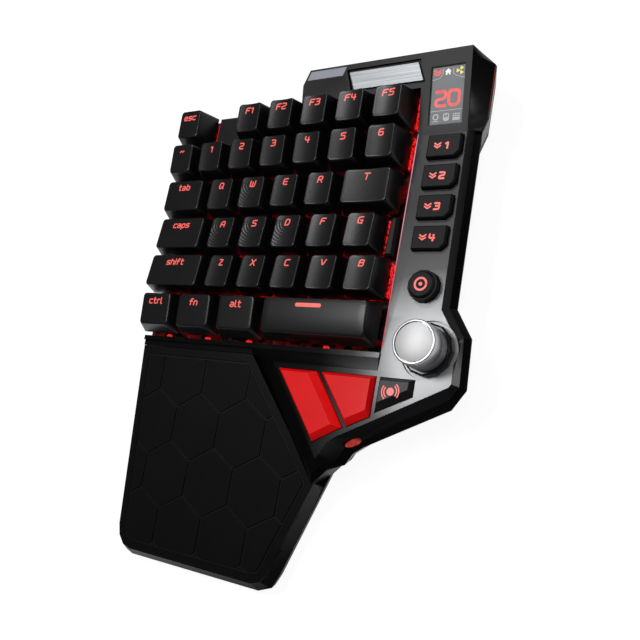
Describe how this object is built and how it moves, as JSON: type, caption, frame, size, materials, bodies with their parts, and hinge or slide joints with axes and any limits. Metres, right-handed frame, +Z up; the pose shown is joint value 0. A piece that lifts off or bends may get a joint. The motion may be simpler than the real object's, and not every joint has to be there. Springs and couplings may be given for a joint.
{
  "type": "gaming keypad",
  "caption": "One-handed gaming keypad: dished letter keys, side macro buttons, thumb keys, a turning knob, a small display and a padded palm rest on rubber feet.",
  "frame": {"origin": "on the desk under the middle of the keypad's box, at the underside of the rubber feet", "axes": "+X towards the macro buttons, on the user's right, +Y towards the back, away from the user, +Z up"},
  "size_m": [0.172, 0.2386, 0.036],
  "materials": {
    "keycap": "satin, glowing legends",
    "macro_black": "satin",
    "thumb_red": "gloss",
    "thumb_black": "gloss",
    "knob_metal": "spun top, knurled side",
    "switch_black": "moulded",
    "plate_black": "powder coated",
    "board_green": "solder mask",
    "encoder_steel": "plated",
    "window_clear": "clear cover",
    "module_grey": "display face",
    "badge_silver": "satin plate",
    "light_guide": "translucent",
    "socket_steel": "drawn shell",
    "screw_steel": "blackened",
    "case_black": "fine texture",
    "palm_black": "fine texture",
    "pad_rubber": "matt, hexagon grooves",
    "feet_rubber": "matt"
  },
  "bodies": {
    "case": {"switch_housings": "switch_black", "switch_plate": "plate_black", "circuit_boards": "board_green", "tact_switches": "switch_black", "encoder_body": "encoder_steel", "display_window": "window_clear", "display_module": "module_grey", "badge_plate": "badge_silver", "light_guides": "light_guide", "usb_socket": "socket_steel", "top_frame": "case_black", "case_screws": "screw_steel", "bottom_shell": "case_black", "rubber_feet": "feet_rubber", "palm_rest_shell": "palm_black", "palm_pad": "pad_rubber"},
    "key_esc": {"key_esc": "keycap"},
    "key_f1": {"key_f1": "keycap"},
    "key_f2": {"key_f2": "keycap"},
    "key_f3": {"key_f3": "keycap"},
    "key_f4": {"key_f4": "keycap"},
    "key_f5": {"key_f5": "keycap"},
    "key_grave": {"key_grave": "keycap"},
    "key_1": {"key_1": "keycap"},
    "key_2": {"key_2": "keycap"},
    "key_3": {"key_3": "keycap"},
    "key_4": {"key_4": "keycap"},
    "key_5": {"key_5": "keycap"},
    "key_6": {"key_6": "keycap"},
    "key_tab": {"key_tab": "keycap"},
    "key_q": {"key_q": "keycap"},
    "key_w": {"key_w": "keycap"},
    "key_e": {"key_e": "keycap"},
    "key_r": {"key_r": "keycap"},
    "key_t": {"key_t": "keycap"},
    "key_caps": {"key_caps": "keycap"},
    "key_a": {"key_a": "keycap"},
    "key_s": {"key_s": "keycap"},
    "key_d": {"key_d": "keycap"},
    "key_f": {"key_f": "keycap"},
    "key_g": {"key_g": "keycap"},
    "key_shift": {"key_shift": "keycap"},
    "key_z": {"key_z": "keycap"},
    "key_x": {"key_x": "keycap"},
    "key_c": {"key_c": "keycap"},
    "key_v": {"key_v": "keycap"},
    "key_b": {"key_b": "keycap"},
    "key_ctrl": {"key_ctrl": "keycap"},
    "key_fn": {"key_fn": "keycap"},
    "key_alt": {"key_alt": "keycap"},
    "key_space": {"key_space": "keycap"},
    "macro_button_1": {"macro_button_1": "macro_black"},
    "macro_button_2": {"macro_button_2": "macro_black"},
    "macro_button_3": {"macro_button_3": "macro_black"},
    "macro_button_4": {"macro_button_4": "macro_black"},
    "mode_button": {"mode_button": "macro_black"},
    "thumb_key_outer": {"thumb_key_outer": "thumb_red"},
    "thumb_key_middle": {"thumb_key_middle": "thumb_red"},
    "thumb_key_inner": {"thumb_key_inner": "thumb_black"},
    "knob": {"knob": "knob_metal"}
  },
  "joints": [
    {"name": "key_esc_press", "type": "slide", "parent": "case", "child": "key_esc", "axis": [0, 0, -1], "range_m": [0, 0.004], "stiffness_N_per_m": 150, "springref_m": -0.003},
    {"name": "key_f1_press", "type": "slide", "parent": "case", "child": "key_f1", "axis": [0, 0, -1], "range_m": [0, 0.004], "stiffness_N_per_m": 150, "springref_m": -0.003},
    {"name": "key_f2_press", "type": "slide", "parent": "case", "child": "key_f2", "axis": [0, 0, -1], "range_m": [0, 0.004], "stiffness_N_per_m": 150, "springref_m": -0.003},
    {"name": "key_f3_press", "type": "slide", "parent": "case", "child": "key_f3", "axis": [0, 0, -1], "range_m": [0, 0.004], "stiffness_N_per_m": 150, "springref_m": -0.003},
    {"name": "key_f4_press", "type": "slide", "parent": "case", "child": "key_f4", "axis": [0, 0, -1], "range_m": [0, 0.004], "stiffness_N_per_m": 150, "springref_m": -0.003},
    {"name": "key_f5_press", "type": "slide", "parent": "case", "child": "key_f5", "axis": [0, 0, -1], "range_m": [0, 0.004], "stiffness_N_per_m": 150, "springref_m": -0.003},
    {"name": "key_grave_press", "type": "slide", "parent": "case", "child": "key_grave", "axis": [0, 0, -1], "range_m": [0, 0.004], "stiffness_N_per_m": 150, "springref_m": -0.003},
    {"name": "key_1_press", "type": "slide", "parent": "case", "child": "key_1", "axis": [0, 0, -1], "range_m": [0, 0.004], "stiffness_N_per_m": 150, "springref_m": -0.003},
    {"name": "key_2_press", "type": "slide", "parent": "case", "child": "key_2", "axis": [0, 0, -1], "range_m": [0, 0.004], "stiffness_N_per_m": 150, "springref_m": -0.003},
    {"name": "key_3_press", "type": "slide", "parent": "case", "child": "key_3", "axis": [0, 0, -1], "range_m": [0, 0.004], "stiffness_N_per_m": 150, "springref_m": -0.003},
    {"name": "key_4_press", "type": "slide", "parent": "case", "child": "key_4", "axis": [0, 0, -1], "range_m": [0, 0.004], "stiffness_N_per_m": 150, "springref_m": -0.003},
    {"name": "key_5_press", "type": "slide", "parent": "case", "child": "key_5", "axis": [0, 0, -1], "range_m": [0, 0.004], "stiffness_N_per_m": 150, "springref_m": -0.003},
    {"name": "key_6_press", "type": "slide", "parent": "case", "child": "key_6", "axis": [0, 0, -1], "range_m": [0, 0.004], "stiffness_N_per_m": 150, "springref_m": -0.003},
    {"name": "key_tab_press", "type": "slide", "parent": "case", "child": "key_tab", "axis": [0, 0, -1], "range_m": [0, 0.004], "stiffness_N_per_m": 150, "springref_m": -0.003},
    {"name": "key_q_press", "type": "slide", "parent": "case", "child": "key_q", "axis": [0, 0, -1], "range_m": [0, 0.004], "stiffness_N_per_m": 150, "springref_m": -0.003},
    {"name": "key_w_press", "type": "slide", "parent": "case", "child": "key_w", "axis": [0, 0, -1], "range_m": [0, 0.004], "stiffness_N_per_m": 150, "springref_m": -0.003},
    {"name": "key_e_press", "type": "slide", "parent": "case", "child": "key_e", "axis": [0, 0, -1], "range_m": [0, 0.004], "stiffness_N_per_m": 150, "springref_m": -0.003},
    {"name": "key_r_press", "type": "slide", "parent": "case", "child": "key_r", "axis": [0, 0, -1], "range_m": [0, 0.004], "stiffness_N_per_m": 150, "springref_m": -0.003},
    {"name": "key_t_press", "type": "slide", "parent": "case", "child": "key_t", "axis": [0, 0, -1], "range_m": [0, 0.004], "stiffness_N_per_m": 150, "springref_m": -0.003},
    {"name": "key_caps_press", "type": "slide", "parent": "case", "child": "key_caps", "axis": [0, 0, -1], "range_m": [0, 0.004], "stiffness_N_per_m": 150, "springref_m": -0.003},
    {"name": "key_a_press", "type": "slide", "parent": "case", "child": "key_a", "axis": [0, 0, -1], "range_m": [0, 0.004], "stiffness_N_per_m": 150, "springref_m": -0.003},
    {"name": "key_s_press", "type": "slide", "parent": "case", "child": "key_s", "axis": [0, 0, -1], "range_m": [0, 0.004], "stiffness_N_per_m": 150, "springref_m": -0.003},
    {"name": "key_d_press", "type": "slide", "parent": "case", "child": "key_d", "axis": [0, 0, -1], "range_m": [0, 0.004], "stiffness_N_per_m": 150, "springref_m": -0.003},
    {"name": "key_f_press", "type": "slide", "parent": "case", "child": "key_f", "axis": [0, 0, -1], "range_m": [0, 0.004], "stiffness_N_per_m": 150, "springref_m": -0.003},
    {"name": "key_g_press", "type": "slide", "parent": "case", "child": "key_g", "axis": [0, 0, -1], "range_m": [0, 0.004], "stiffness_N_per_m": 150, "springref_m": -0.003},
    {"name": "key_shift_press", "type": "slide", "parent": "case", "child": "key_shift", "axis": [0, 0, -1], "range_m": [0, 0.004], "stiffness_N_per_m": 150, "springref_m": -0.003},
    {"name": "key_z_press", "type": "slide", "parent": "case", "child": "key_z", "axis": [0, 0, -1], "range_m": [0, 0.004], "stiffness_N_per_m": 150, "springref_m": -0.003},
    {"name": "key_x_press", "type": "slide", "parent": "case", "child": "key_x", "axis": [0, 0, -1], "range_m": [0, 0.004], "stiffness_N_per_m": 150, "springref_m": -0.003},
    {"name": "key_c_press", "type": "slide", "parent": "case", "child": "key_c", "axis": [0, 0, -1], "range_m": [0, 0.004], "stiffness_N_per_m": 150, "springref_m": -0.003},
    {"name": "key_v_press", "type": "slide", "parent": "case", "child": "key_v", "axis": [0, 0, -1], "range_m": [0, 0.004], "stiffness_N_per_m": 150, "springref_m": -0.003},
    {"name": "key_b_press", "type": "slide", "parent": "case", "child": "key_b", "axis": [0, 0, -1], "range_m": [0, 0.004], "stiffness_N_per_m": 150, "springref_m": -0.003},
    {"name": "key_ctrl_press", "type": "slide", "parent": "case", "child": "key_ctrl", "axis": [0, 0, -1], "range_m": [0, 0.004], "stiffness_N_per_m": 150, "springref_m": -0.003},
    {"name": "key_fn_press", "type": "slide", "parent": "case", "child": "key_fn", "axis": [0, 0, -1], "range_m": [0, 0.004], "stiffness_N_per_m": 150, "springref_m": -0.003},
    {"name": "key_alt_press", "type": "slide", "parent": "case", "child": "key_alt", "axis": [0, 0, -1], "range_m": [0, 0.004], "stiffness_N_per_m": 150, "springref_m": -0.003},
    {"name": "key_space_press", "type": "slide", "parent": "case", "child": "key_space", "axis": [0, 0, -1], "range_m": [0, 0.004], "stiffness_N_per_m": 150, "springref_m": -0.003},
    {"name": "macro_button_1_press", "type": "slide", "parent": "case", "child": "macro_button_1", "axis": [0, 0, -1], "range_m": [0, 0.0012], "stiffness_N_per_m": 400, "springref_m": -0.002},
    {"name": "macro_button_2_press", "type": "slide", "parent": "case", "child": "macro_button_2", "axis": [0, 0, -1], "range_m": [0, 0.0012], "stiffness_N_per_m": 400, "springref_m": -0.002},
    {"name": "macro_button_3_press", "type": "slide", "parent": "case", "child": "macro_button_3", "axis": [0, 0, -1], "range_m": [0, 0.0012], "stiffness_N_per_m": 400, "springref_m": -0.002},
    {"name": "macro_button_4_press", "type": "slide", "parent": "case", "child": "macro_button_4", "axis": [0, 0, -1], "range_m": [0, 0.0012], "stiffness_N_per_m": 400, "springref_m": -0.002},
    {"name": "mode_button_press", "type": "slide", "parent": "case", "child": "mode_button", "axis": [0, 0, -1], "range_m": [0, 0.0012], "stiffness_N_per_m": 400, "springref_m": -0.002},
    {"name": "thumb_key_outer_press", "type": "slide", "parent": "case", "child": "thumb_key_outer", "axis": [0, 0, -1], "range_m": [0, 0.0012], "stiffness_N_per_m": 400, "springref_m": -0.002},
    {"name": "thumb_key_middle_press", "type": "slide", "parent": "case", "child": "thumb_key_middle", "axis": [0, 0, -1], "range_m": [0, 0.0012], "stiffness_N_per_m": 400, "springref_m": -0.002},
    {"name": "thumb_key_inner_press", "type": "slide", "parent": "case", "child": "thumb_key_inner", "axis": [0, 0, -1], "range_m": [0, 0.0012], "stiffness_N_per_m": 400, "springref_m": -0.002},
    {"name": "knob_turn", "type": "hinge", "parent": "case", "child": "knob", "pos_m": [0.06955, -0.01162, 0.03], "axis": [0, 0, 1], "continuous": true}
  ]
}
